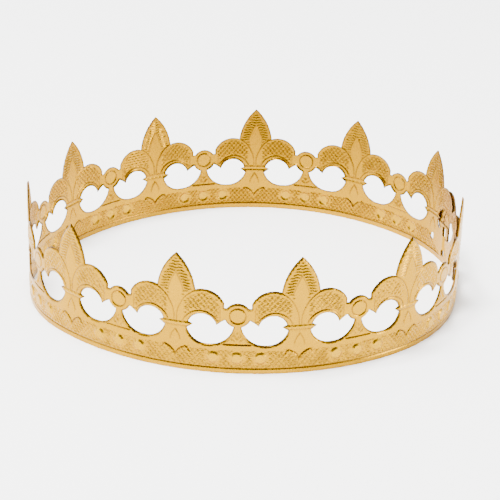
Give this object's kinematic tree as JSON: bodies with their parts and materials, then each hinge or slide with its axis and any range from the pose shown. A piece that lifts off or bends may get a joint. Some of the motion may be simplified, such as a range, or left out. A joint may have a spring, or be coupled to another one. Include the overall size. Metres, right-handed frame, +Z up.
{
  "type": "paper crown",
  "caption": "Open ring crown of gold foil card with flower-shaped points, cut from one strip and closed by its own tongue in a slit.",
  "frame": {"origin": "centre of the ring's outer limits, on the plane the bottom edge rests on", "axes": "+Z up along the points, +X along the ring's longest width to the wearer's side with the overlap, +Y from the front of the ring towards its back"},
  "size_m": [0.1968, 0.1742, 0.0535],
  "materials": {
    "foil_card": "satin embossed gold foil"
  },
  "bodies": {
    "root": {"crown_band": "foil_card"}
  },
  "joints": []
}
